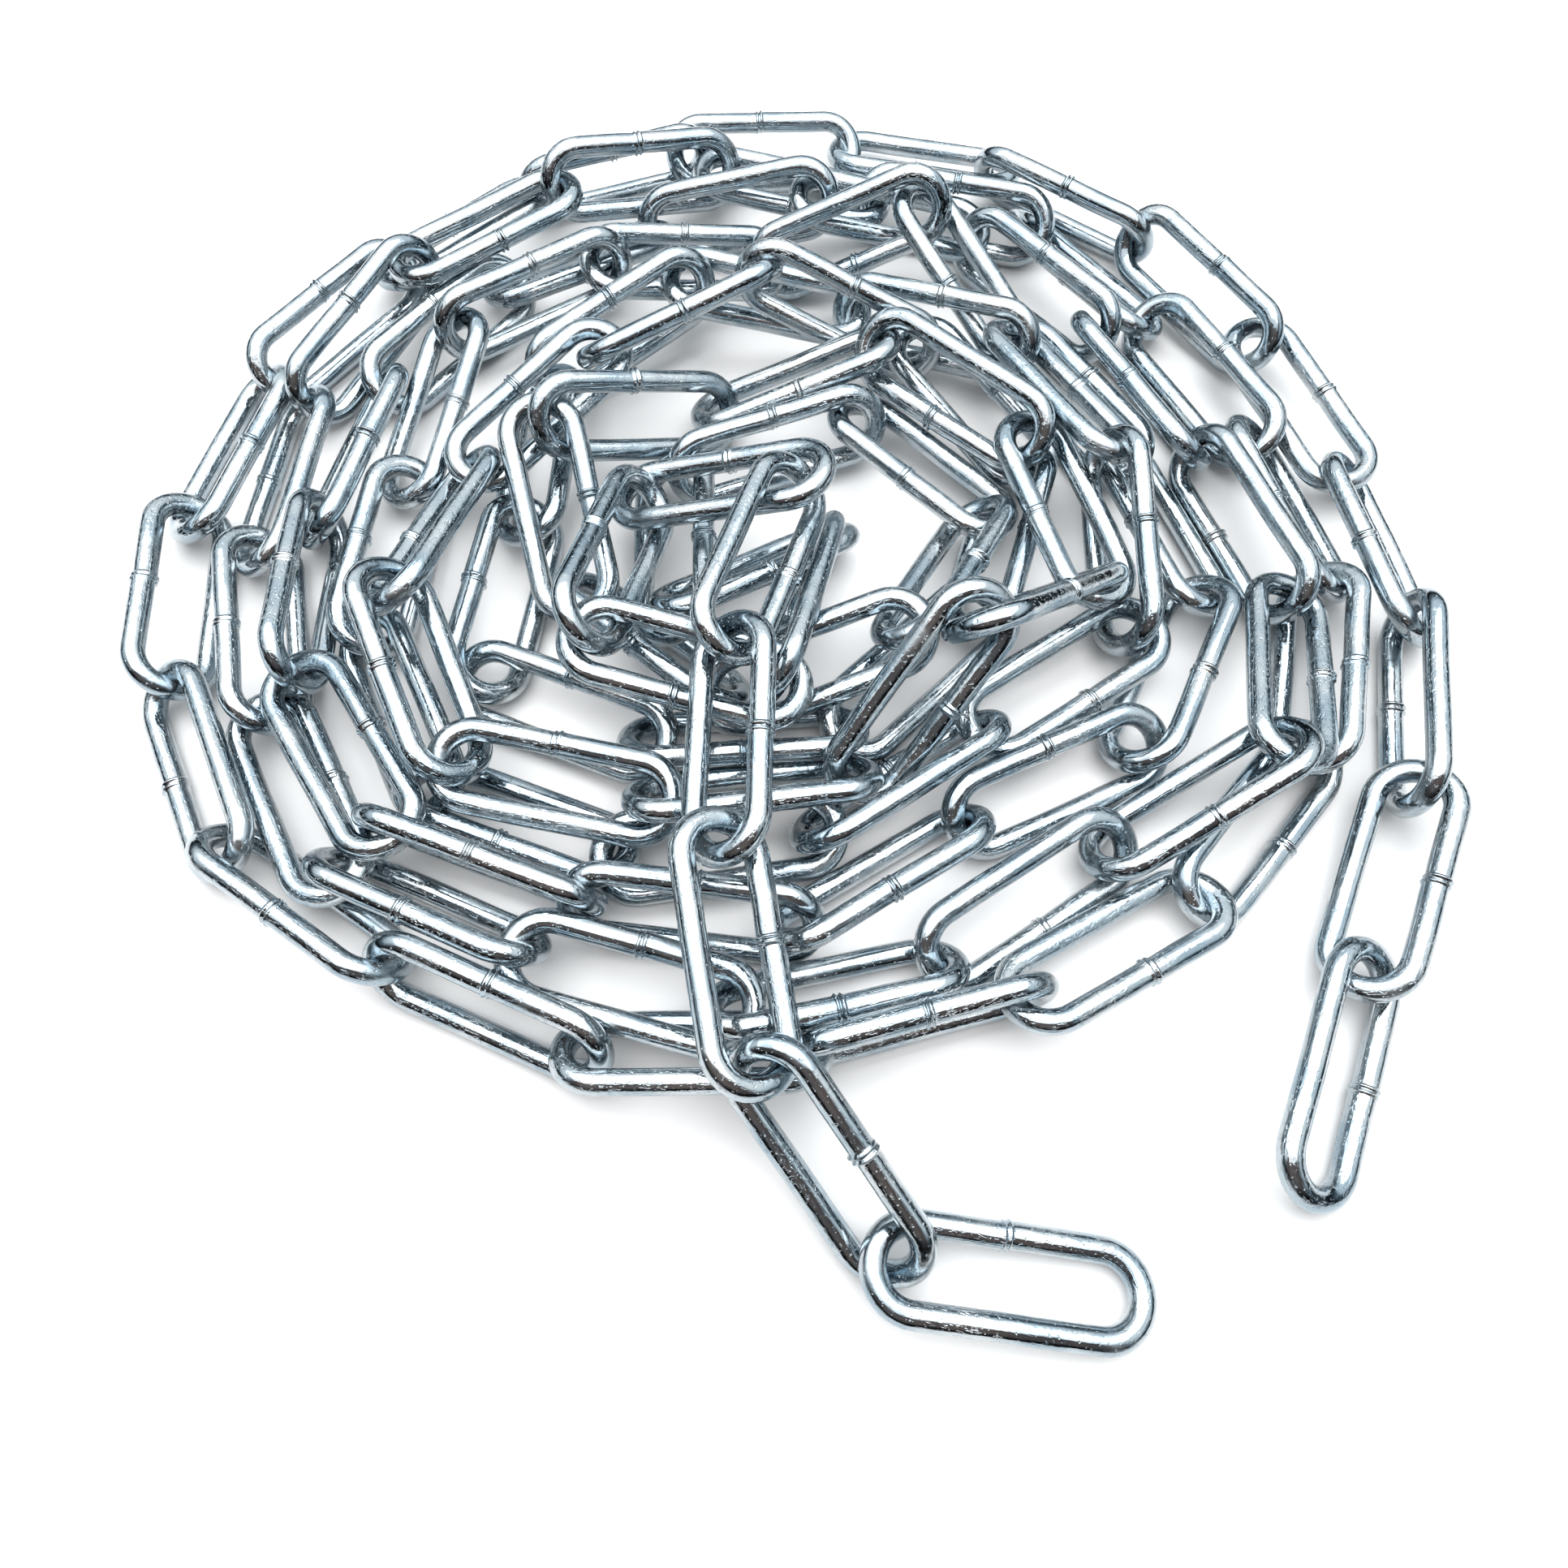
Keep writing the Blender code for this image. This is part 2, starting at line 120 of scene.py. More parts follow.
def add_node(
    tree: bpy.types.NodeTree,
    kind: str,
    inputs: dict[str | int, object] | None = None,
    **settings: object,
) -> bpy.types.Node:
    """Adds one shader node, sets it up and links it.

    Args:
        tree: The node tree that takes it.
        kind: Blender's name of the node type.
        inputs: Socket name or number to a value, or to the output socket to link from.
        **settings: The node's own properties.

    Returns:
        The new node.
    """
    node = tree.nodes.new(kind)
    for name, value in settings.items():
        setattr(node, name, value)
    for name, value in (inputs or {}).items():
        if isinstance(value, bpy.types.NodeSocket):
            tree.links.new(value, node.inputs[name])
        else:
            node.inputs[name].default_value = value
    return node


def set_stops(ramp: bpy.types.Node, stops: tuple[tuple[float, str], ...]) -> None:
    """Sets a colour ramp's stops.

    Args:
        ramp: The ramp node.
        stops: Position and sRGB colour, in order.
    """
    elements = ramp.color_ramp.elements
    while len(elements) < len(stops):
        elements.new(1.0)
    for element, (position, colour) in zip(elements, stops):
        element.position = position
        element.color = linear(colour)


@dataclass(frozen=True)
class LinkSize:
    """One link of long-link chain: wire 3 mm, inner length 26 mm, inner width 6 mm."""

    wire: float = 3.0
    pitch: float = 26.0
    outer_width: float = 12.0
    cad_arc_steps: int = 5
    cad_sides: int = 6
    cad_section_radius: float = 1.6

    @property
    def arc_radius(self) -> float:
        """Radius of the centre line round each end."""
        return (self.outer_width - self.wire) / 2.0

    @property
    def arc_centre(self) -> float:
        """How far each end's arc centre stands from the middle of the link."""
        return (self.pitch + 2.0 * self.wire - self.outer_width) / 2.0

    @property
    def wire_length(self) -> float:
        """Length of the centre line, once round."""
        return 4.0 * self.arc_centre + FULL_TURN * self.arc_radius

    def cad_corners(self) -> np.ndarray:
        """The corners of the coarse link as the CAD has it, in the link's own frame.

        Returns:
            One row a corner, x along the link, y across it, z out of its face.
        """
        loop = []
        for side in (1.0, -1.0):
            for k in range(self.cad_arc_steps + 1):
                angle = math.pi * k / self.cad_arc_steps - math.pi / 2.0
                loop.append((side * (self.arc_centre + self.arc_radius * math.cos(angle)),
                             side * self.arc_radius * math.sin(angle)))
        line = np.array(loop)
        before = line - np.roll(line, 1, axis=0)
        after = np.roll(line, -1, axis=0) - line
        heading = (before / np.linalg.norm(before, axis=1)[:, None]
                   + after / np.linalg.norm(after, axis=1)[:, None])
        heading /= np.linalg.norm(heading, axis=1)[:, None]
        outward = np.stack([heading[:, 1], -heading[:, 0]], axis=1)
        rows = []
        for k in range(self.cad_sides):
            angle = FULL_TURN * k / self.cad_sides
            flat = line + self.cad_section_radius * math.cos(angle) * outward
            height = np.full(len(flat), self.cad_section_radius * math.sin(angle))
            rows.append(np.column_stack([flat, height]))
        return np.concatenate(rows)


@dataclass
class LinkPlace:
    """Where one link lies: its middle in millimetres, and the axes along, across and out of its face."""

    centre: np.ndarray
    frame: np.ndarray


@dataclass
class LinkFinder:
    """Reads the places of the links back from the corners of a CAD node.

    A coarse link's corners are laid over the node's and fitted again and again. A corner counts as matched
    within a catch, which narrows from round to round. `cuts` are the shares of a node's corners at which it
    is cut in two to start with.
    """

    size: LinkSize = field(default_factory=LinkSize)
    rounds: int = 40
    widest_catch: float = 4.0
    finest_catch: float = 0.25
    sure_share: float = 0.7
    fewest_matches: int = 8
    spare_corners: int = 4
    cuts: tuple[float, ...] = (0.5, 0.42, 0.58)

    def __post_init__(self) -> None:
        """Works the coarse link's corners out once."""
        self.corners = self.size.cad_corners()

    def first_guess(self, points: np.ndarray) -> LinkPlace:
        """A place from the spread of a cloud of points.

        Args:
            points: Corners that belong mostly to one link, in millimetres.

        Returns:
            The cloud's middle, with its longest axis as the link's.
        """
        centre = points.mean(axis=0)
        _, _, axes = np.linalg.svd(points - centre, full_matrices=False)
        frame = np.stack([axes[0], axes[1], np.cross(axes[0], axes[1])], axis=1)
        return LinkPlace(centre, frame)

    def refit(self, points: np.ndarray, targets: np.ndarray) -> LinkPlace:
        """The rigid move that carries template corners onto the points they match.

        Args:
            points: Corners of the node.
            targets: The template corner for each of them.

        Returns:
            The link's place.
        """
        middle = points.mean(axis=0)
        home = targets.mean(axis=0)
        left, _, right = np.linalg.svd((targets - home).T @ (points - middle))
        turn = (left @ np.diag([1.0, 1.0, np.sign(np.linalg.det(left @ right))]) @ right).T
        return LinkPlace(middle - turn @ home, turn)

    def match(
        self, points: np.ndarray, places: list[LinkPlace],
    ) -> tuple[np.ndarray, np.ndarray, np.ndarray]:
        """Finds, for each corner of the node, the link and template corner nearest to it.

        Args:
            points: Corners of the node.
            places: Where the links are thought to be.

        Returns:
            Each point's distance, link number and template corner.
        """
        gaps = []
        for place in places:
            posed = place.centre + self.corners @ place.frame.T
            gaps.append(np.linalg.norm(points[:, None] - posed[None], axis=2))
        stack = np.stack(gaps)
        nearest = stack.min(axis=2)
        link = nearest.argmin(axis=0)
        rows = np.arange(len(points))
        return nearest[link, rows], link, stack.argmin(axis=2)[link, rows]

    def settle(self, points: np.ndarray, places: list[LinkPlace]) -> tuple[float, list[LinkPlace]]:
        """Improves a guess until the template lies on the node's corners.

        Args:
            points: Corners of the node.
            places: The guess, one place a link.

        Returns:
            The share of corners that match closely, and the places.
        """
        for step in range(self.rounds):
            ease = 1.0 - step / (self.rounds - 1.0)
            catch = self.finest_catch + (self.widest_catch - self.finest_catch) * ease ** 2
            distance, link, corner = self.match(points, places)
            for k in range(len(places)):
                mine = (link == k) & (distance < catch)
                if mine.sum() > self.fewest_matches:
                    places[k] = self.refit(points[mine], self.corners[corner[mine]])
        distance, _, _ = self.match(points, places)
        return float((distance < self.finest_catch / 2.0).mean()), places

    def find(self, points: np.ndarray) -> list[LinkPlace]:
        """Finds the one or two links of a node.

        A node with more corners than one link has is cut in two across its longest direction, or else across
        the next, until both halves settle.

        Args:
            points: The node's corners in millimetres.

        Returns:
            One place a link.
        """
        if len(points) <= len(self.corners) + self.spare_corners:
            share, places = self.settle(points, [self.first_guess(points)])
            log.debug("one link, %.0f%% of corners matched", 100.0 * share)
            return places
        best = (-1.0, [])
        whole = self.first_guess(points)
        for direction in (whole.frame[:, 0], whole.frame[:, 1]):
            reach = (points - whole.centre) @ direction
            for cut in self.cuts:
                low = reach < np.quantile(reach, cut)
                guess = [self.first_guess(points[low]), self.first_guess(points[~low])]
                found = self.settle(points, guess)
                if found[0] > best[0]:
                    best = found
                if best[0] > self.sure_share:
                    return best[1]
        return best[1]


@dataclass(frozen=True)
class WeldSize:
    """The butt weld in the middle of one long side: two low rings with a groove between them.

    The two halves of the side meet there a little out of line. From link to link the weld sits up to `slide`
    off the middle, and its rings are lower or higher within `height_range` and stand out unevenly all round.
    """

    ring_height: float = 0.24
    ring_spread: float = 0.22
    ring_gap: float = 0.66
    unevenness: float = 0.35
    height_range: tuple[float, float] = (0.75, 1.2)
    step: float = 0.06
    step_reach: float = 3.0
    slide: float = 0.8
    reach: float = 1.3
    stations: int = 26

    def swell(self, from_weld: float) -> float:
        """How far the wire stands out at a distance from the weld.

        Args:
            from_weld: Distance along the wire.

        Returns:
            Height above the plain wire.
        """
        height = 0.0
        for side in (-1.0, 1.0):
            apart = (from_weld - side * self.ring_gap / 2.0) / self.ring_spread
            height += self.ring_height * math.exp(-apart * apart * 2.0)
        return height


class WeldSide(Enum):
    """Which long side of a link carries the weld, as a direction that the side lies towards."""

    RIGHT = (1.0, 0.0, 0.0)
    LEFT = (-1.0, 0.0, 0.0)
    BACK = (0.0, 1.0, 0.0)
    UP = (0.0, 0.0, 1.0)

    def sign(self, place: LinkPlace) -> float:
        """Whether the link has to be turned half round to bring its weld to this side.

        Args:
            place: Where the link lies.

        Returns:
            Minus one to turn it, one to leave it.
        """
        return -1.0 if float(place.frame[:, 1] @ np.array(self.value)) > 0.0 else 1.0


@dataclass(frozen=True)
class Station:
    """One point of a link's centre line.

    It holds its place, the angle of its heading, and its distances along the wire from the start and from
    the weld.
    """

    x: float
    y: float
    heading: float
    along: float
    from_weld: float


@dataclass(frozen=True)
class Irregularity:
    """What sets one link apart: its waves, its weld's side, how far its weld slid, and its rings' height."""

    phases: np.ndarray
    side: float
    slide: float
    ring_height: float


@dataclass
class WireLink:
    """A round link of drawn wire, closed by a butt weld.

    The wire isn't quite straight: slow waves of a few hundredths of a millimetre run round it, so many to a
    turn, in the link's own plane (drift) and out of it (lift).
    """

    size: LinkSize = field(default_factory=LinkSize)
    weld: WeldSize = field(default_factory=WeldSize)
    sides: int = 24
    arc_steps: int = 20
    leg_steps: int = 8
    # A little under half the wire's thickness, which leaves room for the waves.
    radius: float = 1.49
    waviness: float = 0.025
    drift_waves: tuple[int, int] = (2, 5)
    lift_waves: tuple[int, int] = (3, 4)
    # One draw for each wave, one for the weld's rings and one to spare.
    phase_draws: int = 6
    # The share of links that have their weld below, of those that may have it on top.
    weld_below: float = 0.22
    # How far apart the finishes of two links start, along the straightened wire.
    seed_stride: float = 137.0
    station_digits: int = 4

    def __post_init__(self) -> None:
        """Works out the angles round the wire and the stations along it once."""
        self.angles = FULL_TURN * np.arange(self.sides) / self.sides
        self.rows = self.stations()

    def stations(self) -> list[Station]:
        """Points along the centre line, from the start of the welded side round to it again.

        Returns:
            The stations, close together near the weld.
        """
        straight = self.size.arc_centre
        turn = self.size.arc_radius
        half = math.pi * turn
        clear = straight + turn
        dense = np.linspace(-self.weld.reach, self.weld.reach, self.weld.stations)
        even = np.linspace(-straight, straight, self.leg_steps + 1)[:-1]
        places = sorted(set(np.round(np.concatenate([even, dense]), self.station_digits)))
        rows = [Station(x, -turn, 0.0, x + straight, x) for x in places]
        for k in range(self.arc_steps):
            angle = math.pi * k / self.arc_steps
            rows.append(Station(straight + turn * math.sin(angle), -turn * math.cos(angle), angle,
                                2.0 * straight + turn * angle, clear))
        for k in range(self.leg_steps):
            x = straight - 2.0 * straight * k / self.leg_steps
            rows.append(Station(x, turn, math.pi, 2.0 * straight + half + straight - x, clear))
        for k in range(self.arc_steps):
            angle = math.pi * k / self.arc_steps
            rows.append(Station(-straight - turn * math.sin(angle), turn * math.cos(angle), math.pi + angle,
                                4.0 * straight + half + turn * angle, clear))
        return rows

    def irregularity(self, seed: int, place: LinkPlace, weld_side: WeldSide) -> Irregularity:
        """Draws what sets one link apart.

        Args:
            seed: The link's number.
            place: Where it lies.
            weld_side: The side that its weld is on; a link with it on top has it below now and then.

        Returns:
            Its small irregularities.
        """
        rng = np.random.default_rng(seed)
        phases = rng.uniform(0.0, FULL_TURN, self.phase_draws)
        side = weld_side.sign(place)
        if rng.random() < self.weld_below and weld_side is WeldSide.UP:
            side = -side
        return Irregularity(phases, side, rng.uniform(-self.weld.slide, self.weld.slide),
                            rng.uniform(*self.weld.height_range))

    def ring(self, station: Station, own: Irregularity) -> np.ndarray:
        """The corners of the wire's section at one station, in the link's own frame.

        Args:
            station: The point of the centre line.
            own: The link's small irregularities.

        Returns:
            One row a corner.
        """
        near = math.exp(-(station.from_weld / self.weld.step_reach) ** 2)
        slide = own.slide * near if abs(station.from_weld) <= self.size.arc_centre else 0.0
        wave = FULL_TURN * station.along / self.size.wire_length
        drift, lift = (
            self.waviness * sum(math.sin(count * wave + phase) for count, phase in zip(counts, phases))
            for counts, phases in ((self.drift_waves, own.phases[:2]), (self.lift_waves, own.phases[2:4])))
        step = self.weld.step * (1.0 if station.from_weld > 0 else -1.0) * near
        outward = np.array([math.sin(station.heading), -math.cos(station.heading), 0.0])
        middle = np.array([station.x + slide, station.y, lift]) + outward * (drift + step)
        uneven = 1.0 + self.weld.unevenness * np.sin(self.angles + own.phases[4])
        reach = self.radius + self.weld.swell(station.from_weld) * own.ring_height * uneven
        corners = middle + np.outer(reach * np.cos(self.angles), outward)
        corners[:, 2] += reach * np.sin(self.angles)
        return corners * (1.0, own.side, own.side)

    def skin(self, base: int, seed: int) -> tuple[list[tuple[int, ...]], list[tuple[float, ...]]]:
        """Joins the rings of one link to faces.

        Args:
            base: How many corners the mesh had before this link.
            seed: The link's number, which sets its finish apart from the other links'.

        Returns:
            The faces, and for each of their corners its place on a straightened wire.
        """
        flat_ring = [(self.radius * math.cos(angle), self.radius * math.sin(angle)) for angle in self.angles]
        start = seed * self.seed_stride
        ends = [station.along for station in self.rows[1:]] + [self.size.wire_length]
        faces, marks = [], []
        for i, (station, end) in enumerate(zip(self.rows, ends)):
            here = base + i * self.sides
            next_ring = base + (i + 1) % len(self.rows) * self.sides
            low = start + station.along
            high = start + end
            for k in range(self.sides):
                beside = (k + 1) % self.sides
                faces.append((here + k, next_ring + k, next_ring + beside, here + beside))
                marks.extend([(low, *flat_ring[k]), (high, *flat_ring[k]),
                              (high, *flat_ring[beside]), (low, *flat_ring[beside])])
        return faces, marks

    def build(
        self, places: list[LinkPlace], seeds: list[int], weld_side: WeldSide, name: str,
    ) -> bpy.types.Mesh:
        """Builds the links of one node as one mesh.

        Args:
            places: Where each link lies.
            seeds: A number for each link, which its small irregularities come from.
            weld_side: The side that the weld is on.
            name: The mesh's name.

        Returns:
            A mesh in metres that also holds, for its finish, each corner's place on a straightened wire.
        """
        corners, faces, marks = [], [], []
        for place, seed in zip(places, seeds):
            own = self.irregularity(seed, place, weld_side)
            new_faces, new_marks = self.skin(len(corners), seed)
            for station in self.rows:
                corners.extend((place.centre + self.ring(station, own) @ place.frame.T) * MM)
            faces.extend(new_faces)
            marks.extend(new_marks)
        mesh = bpy.data.meshes.new(name)
        mesh.from_pydata([tuple(corner) for corner in corners], [], faces)
        layer = mesh.attributes.new(WIRE_PLACE, "FLOAT_VECTOR", "CORNER")
        layer.data.foreach_set("vector", np.array(marks, dtype=np.float32).ravel())
        mesh.polygons.foreach_set("use_smooth", [True] * len(faces))
        mesh.update()
        return mesh


@dataclass(frozen=True)
class Grain:
    """One noise of a finish.

    It holds the size of a spot along the wire and across it, how many finer layers it has, and how strongly
    they show.
    """

    along: float
    across: float
    layers: float
    fine_share: float = 0.6


@dataclass(frozen=True)
class Relief:
    """How strongly a layer of relief bends the surface, how deep it goes, and whether it is sunk."""

    strength: float
    depth: float
    sunk: bool = False


@dataclass(frozen=True)
class BrightZinc:
    """Bright zinc plating, passivated: a hard mirror-like skin with a cold blue cast, over drawn wire.

    The eye gets a crisp highlight whose edges are ragged from draw marks and nicks, faint lengthwise lines,
    and duller patches where the links rubbed on each other. A range gives the noise values where a spot
    begins and where it is full.
    """

    colour: str = "b5bbbe"
    cold_colour: str = "909fa8"
    roughness: float = 0.10
    rubbed_roughness: float = 0.34
    # The plating is bluer in patches of about a centimetre.
    cast: Grain = Grain(9.0, 9.0, 4.0)
    cast_range: tuple[float, float] = (0.38, 0.62)
    rubbed: Grain = Grain(7.0, 7.0, 5.0)
    rubbed_range: tuple[float, float] = (0.52, 0.66)
    # Shallow dents from tumbling in the plating barrel.
    dents: Grain = Grain(1.7, 1.7, 2.0)
    dent_relief: Relief = Relief(0.5, 0.10)
    # Real draw marks are some hundredths of a millimetre wide. These are as coarse as they need to show.
    lines: Grain = Grain(5.0, 0.22, 3.0, 0.55)
    line_relief: Relief = Relief(0.4, 0.03)
    nicks: Grain = Grain(0.85, 0.24, 1.5, 0.55)
    nick_range: tuple[float, float] = (0.58, 0.66)
    nick_relief: Relief = Relief(0.8, 0.035, sunk=True)
    # Nicks are thick in some stretches of wire, about a link long, and missing in others.
    worn: Grain = Grain(24.0, 24.0, 2.0)
    worn_range: tuple[float, float] = (0.42, 0.62)
    # Real pits are a tenth or two of a millimetre across. These are as coarse as they need to show.
    pits: Grain = Grain(0.42, 0.42, 1.0)
    pit_range: tuple[float, float] = (0.66, 0.73)
    pit_relief: Relief = Relief(0.9, 0.04, sunk=True)

    def noise(self, tree: bpy.types.NodeTree, grain: Grain) -> bpy.types.NodeSocket:
        """Adds a noise that lies on the straightened wire.

        Args:
            tree: The finish's node tree.
            grain: The size of its spots.

        Returns:
            Its value, mostly between 0.3 and 0.7.
        """
        place = add_node(tree, "ShaderNodeAttribute", attribute_name=WIRE_PLACE)
        scaled = add_node(tree, "ShaderNodeMapping", {
            "Vector": place.outputs["Vector"],
            "Scale": (1.0 / grain.along, 1.0 / grain.across, 1.0 / grain.across)})
        return add_node(tree, "ShaderNodeTexNoise", {
            "Vector": scaled.outputs["Vector"], "Scale": 1.0, "Detail": grain.layers,
            "Roughness": grain.fine_share}).outputs["Fac"]

    def spots(
        self, tree: bpy.types.NodeTree, grain: Grain, between: tuple[float, float],
    ) -> bpy.types.NodeSocket:
        """Adds spots on a clean ground.

        Args:
            tree: The finish's node tree.
            grain: The size of the spots.
            between: Noise values where a spot begins and where it is full.

        Returns:
            Zero on the ground, one on the spots.
        """
        ramp = add_node(tree, "ShaderNodeMapRange", {
            "Value": self.noise(tree, grain), "From Min": between[0], "From Max": between[1]})
        return ramp.outputs["Result"]

    def relief(self, tree: bpy.types.NodeTree) -> bpy.types.NodeSocket:
        """Builds the fine relief: dents, draw lines, nicks and pits.

        Args:
            tree: The finish's node tree.

        Returns:
            The bent normal.
        """
        nicks = add_node(tree, "ShaderNodeMath", {
            0: self.spots(tree, self.nicks, self.nick_range),
            1: self.spots(tree, self.worn, self.worn_range)}, operation="MULTIPLY").outputs["Value"]
        layers = (
            (self.noise(tree, self.dents), self.dent_relief),
            (self.noise(tree, self.lines), self.line_relief),
            (nicks, self.nick_relief),
            (self.spots(tree, self.pits, self.pit_range), self.pit_relief),
        )
        below = {}
        for height, relief in layers:
            bump = add_node(tree, "ShaderNodeBump", {
                "Height": height, "Strength": relief.strength, "Distance": relief.depth * MM, **below},
                invert=relief.sunk)
            below = {"Normal": bump.outputs["Normal"]}
        return below["Normal"]

    def material(self) -> bpy.types.Material:
        """Builds the finish.

        Returns:
            The material.
        """
        made = bpy.data.materials.new("bright_zinc_plating")
        made.use_nodes = True
        tree = made.node_tree
        tree.nodes.clear()
        cast = add_node(tree, "ShaderNodeValToRGB", {"Fac": self.noise(tree, self.cast)})
        set_stops(cast, ((self.cast_range[0], self.cold_colour), (self.cast_range[1], self.colour)))
        rough = add_node(tree, "ShaderNodeMapRange", {
            "Value": self.spots(tree, self.rubbed, self.rubbed_range),
            "To Min": self.roughness, "To Max": self.rubbed_roughness})
        shader = add_node(tree, "ShaderNodeBsdfPrincipled", {
            "Base Color": cast.outputs["Color"], "Metallic": 1.0, "Roughness": rough.outputs["Result"],
            "Normal": self.relief(tree)})
        add_node(tree, "ShaderNodeOutputMaterial", {"Surface": shader.outputs["BSDF"]})
        return made


@dataclass
class ChainHeap:
    """The whole length of chain: one piece for each CAD node, holding that node's links.

    `weld_sides` gives the sides of the welds that the photograph shows, by the start of the nodes' names.
    """

    nodes: dict[str, bpy.types.Object]
    finder: LinkFinder = field(default_factory=LinkFinder)
    wire: WireLink = field(default_factory=WireLink)
    finish: BrightZinc = field(default_factory=BrightZinc)
    bearing_shift: float = 0.22
    corner_digits: int = 3
    weld_sides: tuple[tuple[str, WeldSide], ...] = (
        ("right_tail_link_003", WeldSide.LEFT), ("right_tail", WeldSide.RIGHT),
        ("top_strand_end_link", WeldSide.BACK), ("top_strand", WeldSide.RIGHT))

    def ease_apart(self, places: list[LinkPlace]) -> None:
        """Slides two links that share a node apart, to where their round wires just touch.

        Args:
            places: The links' places, which it changes.
        """
        if len(places) == 2:
            line = places[1].centre - places[0].centre
            line /= np.linalg.norm(line)
            places[0].centre = places[0].centre - line * self.bearing_shift
            places[1].centre = places[1].centre + line * self.bearing_shift

    def weld_side(self, name: str) -> WeldSide:
        """The side that the welds of a node's links are on: as photographed, or else mostly on top."""
        return next((side for start, side in self.weld_sides if name.startswith(start)), WeldSide.UP)

    def build(self) -> None:
        """Builds and dresses every piece, in the order of the nodes' names."""
        material = self.finish.material()
        seed = 0
        for name in sorted(self.nodes):
            points = np.array([corner.co for corner in self.nodes[name].data.vertices]) / MM
            points = np.unique(np.round(points, self.corner_digits), axis=0)
            places = self.finder.find(points)
            self.ease_apart(places)
            seeds = [seed + k for k in range(len(places))]
            mesh = self.wire.build(places, seeds, self.weld_side(name), f"{name}_wire")
            mesh.materials.append(material)
            seed += len(places)
            piece = bpy.data.objects.new(f"{name}_wire", mesh)
            bpy.context.scene.collection.objects.link(piece)
            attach(piece, BODY)
            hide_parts(name)
            log.info("%s: %d link(s), %d faces", piece.name, len(places), len(mesh.polygons))


@dataclass(frozen=True)
class StudioPaper:
    """Matt white backdrop paper: even and pale, with only a soft shadow under what lies on it."""

    colour: str = "e6e6e6"
    roughness: float = 0.75

    def material(self) -> bpy.types.Material:
        """Builds the finish.

        Returns:
            The material.
        """
        made = bpy.data.materials.new("studio_paper")
        made.use_nodes = True
        shader = made.node_tree.nodes["Principled BSDF"]
        shader.inputs["Base Color"].default_value = linear(self.colour)
        shader.inputs["Roughness"].default_value = self.roughness
        return made


@dataclass(frozen=True)
class Softbox:
    """One rectangular lamp that faces straight down.

    Its glow is the brightness of its face, on a scale where the floor's white is about one.
    """

    name: str
    place: tuple[float, float, float]
    size: tuple[float, float]
    glow: float

    def hang(self) -> None:
        """Hangs the lamp. A face with a glow of one sends out pi watts from each square metre."""
        data = bpy.data.lights.new(self.name, "AREA")
        data.shape = "RECTANGLE"
        data.size = self.size[0] * MM
        data.size_y = self.size[1] * MM
        data.energy = self.glow * math.pi * data.size * data.size_y
        lamp = bpy.data.objects.new(self.name, data)
        lamp.location = Vector(self.place) * MM
        lamp.visible_camera = False
        bpy.context.scene.collection.objects.link(lamp)


@dataclass(frozen=True)
class LightTent:
    """The pale walls round the heap, dark near the floor, with the dark opening on the viewer's side.

    The stops run from the tent's side walls to the opening's middle, and from the floor's level up to the
    zenith. The camera itself sees a plain white backdrop.
    """

    opening_axis: tuple[float, float, float] = (-0.17, -0.80, 0.57)
    opening_stops: tuple[tuple[float, str], ...] = (
        (0.0, "f4f8fa"), (0.42, "e4ebee"), (0.60, "8d9195"),
        (0.70, "534a48"), (0.90, "625855"), (1.0, "6e6461"))
    wall_stops: tuple[tuple[float, str], ...] = (
        (0.0, "070a0c"), (0.15, "182025"), (0.31, "69747b"),
        (0.44, "dfe5e8"), (0.60, "ffffff"), (1.0, "ffffff"))
    strength: float = 1.65
    backdrop: str = "ffffff"

    def build(self) -> None:
        """Builds the world that holds the tent."""
        world = bpy.data.worlds.new("studio_room")
        world.use_nodes = True
        tree = world.node_tree
        tree.nodes.clear()
        direction = add_node(tree, "ShaderNodeTexCoord").outputs["Generated"]
        split = add_node(tree, "ShaderNodeSeparateXYZ", {"Vector": direction})
        facing = add_node(tree, "ShaderNodeVectorMath", {0: direction, 1: self.opening_axis},
                          operation="DOT_PRODUCT")
        opening = add_node(tree, "ShaderNodeValToRGB", {"Fac": facing.outputs["Value"]})
        set_stops(opening, self.opening_stops)
        wall = add_node(tree, "ShaderNodeValToRGB", {"Fac": split.outputs["Z"]})
        set_stops(wall, self.wall_stops)
        both = add_node(tree, "ShaderNodeMix", {
            "Factor": 1.0, MIX_COLOUR_A: opening.outputs["Color"], MIX_COLOUR_B: wall.outputs["Color"]},
            data_type="RGBA", blend_type="MULTIPLY")
        glow = add_node(tree, "ShaderNodeBackground", {
            "Color": both.outputs[MIX_COLOUR_RESULT], "Strength": self.strength})
        behind = add_node(tree, "ShaderNodeBackground", {"Color": linear(self.backdrop), "Strength": 1.0})
        seen = add_node(tree, "ShaderNodeLightPath").outputs["Is Camera Ray"]
        mixed = add_node(tree, "ShaderNodeMixShader", {
            0: seen, 1: glow.outputs["Background"], 2: behind.outputs["Background"]})
        add_node(tree, "ShaderNodeOutputWorld", {"Surface": mixed.outputs["Shader"]})
        bpy.context.scene.world = world


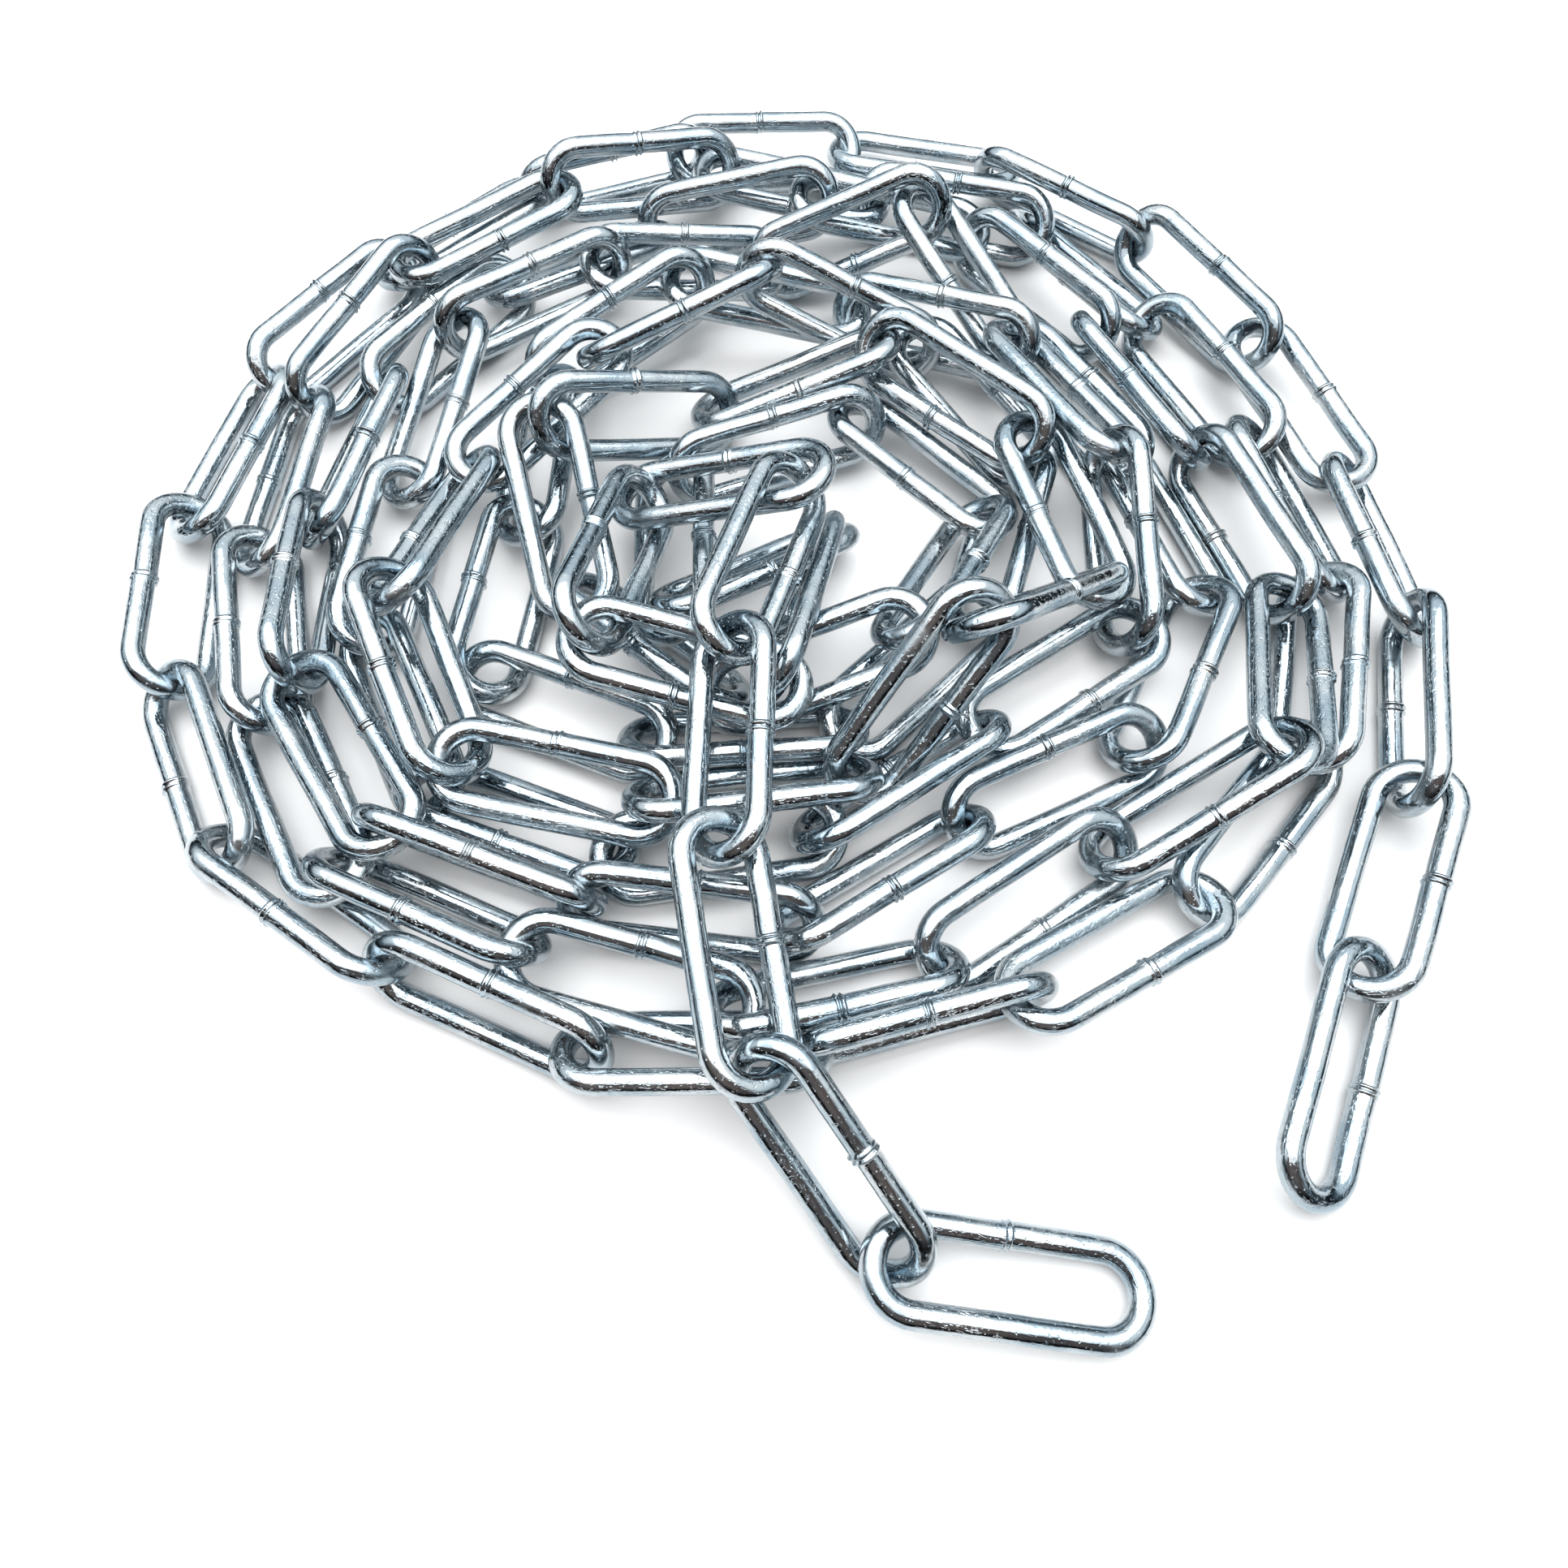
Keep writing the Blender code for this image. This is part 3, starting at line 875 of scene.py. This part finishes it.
@dataclass
class Studio:
    """Floor, light and the photograph's camera."""

    floor_side: float = 3000.0
    paper: StudioPaper = field(default_factory=StudioPaper)
    tent: LightTent = field(default_factory=LightTent)
    lamps: tuple[Softbox, ...] = (
        Softbox("near_softbox", place=(-40.0, 12.0, 213.0), size=(440.0, 275.0), glow=1.7),
        Softbox("ceiling_softbox", place=(0.0, 300.0, 2000.0), size=(2600.0, 2600.0), glow=2.3),
    )
    focal_pixels: float = 1394.0
    pitch_degrees: float = 66.6
    distance: float = 144.7
    aim: tuple[float, float] = (-0.31, -25.5)
    nearest_seen: float = 10.0

    def lay_floor(self, height: float) -> None:
        """Lays the pale floor.

        Args:
            height: The lowest point of the chain, in metres.
        """
        half = self.floor_side * MM / 2.0
        mesh = bpy.data.meshes.new("studio_floor")
        mesh.from_pydata([(-half, -half, height), (half, -half, height), (half, half, height),
                          (-half, half, height)], [], [(0, 1, 2, 3)])
        mesh.materials.append(self.paper.material())
        floor = bpy.data.objects.new("studio_floor", mesh)
        bpy.context.scene.collection.objects.link(floor)
        floor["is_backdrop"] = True

    def light(self) -> None:
        """Lights the heap from the tent's walls, a softbox close above it and a wide pale ceiling."""
        self.tent.build()
        for lamp in self.lamps:
            lamp.hang()

    def stand_camera(self) -> None:
        """Stands the camera where the photograph was taken from."""
        data = bpy.data.cameras.new("photo_camera")
        data.sensor_fit = "HORIZONTAL"
        data.sensor_width = SENSOR_MM
        data.lens = self.focal_pixels / PHOTO_PIXELS * SENSOR_MM
        data.clip_start = self.nearest_seen * MM
        camera = bpy.data.objects.new("photo_camera", data)
        pitch = math.radians(self.pitch_degrees)
        camera.location = (
            self.aim[0] * MM,
            (self.aim[1] - self.distance * math.cos(pitch)) * MM,
            self.distance * math.sin(pitch) * MM,
        )
        camera.rotation_euler = (math.pi / 2.0 - pitch, 0.0, 0.0)
        bpy.context.scene.collection.objects.link(camera)
        bpy.context.scene.camera = camera
        bpy.context.scene.view_settings.view_transform = "Standard"


def corners_of_bounds() -> list[list[float]]:
    """The object's box as plain lists."""
    return [[float(value) for value in corner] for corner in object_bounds()]


def main() -> None:
    """Loads the frame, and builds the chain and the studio."""
    logging.basicConfig(level=logging.INFO, format="%(message)s", stream=sys.stdout)
    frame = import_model()
    ChainHeap(frame["nodes"]).build()
    visual_box = corners_of_bounds()
    studio = Studio()
    studio.lay_floor(visual_box[0][2])
    studio.light()
    studio.stand_camera()


if __name__ == "__main__":
    main()
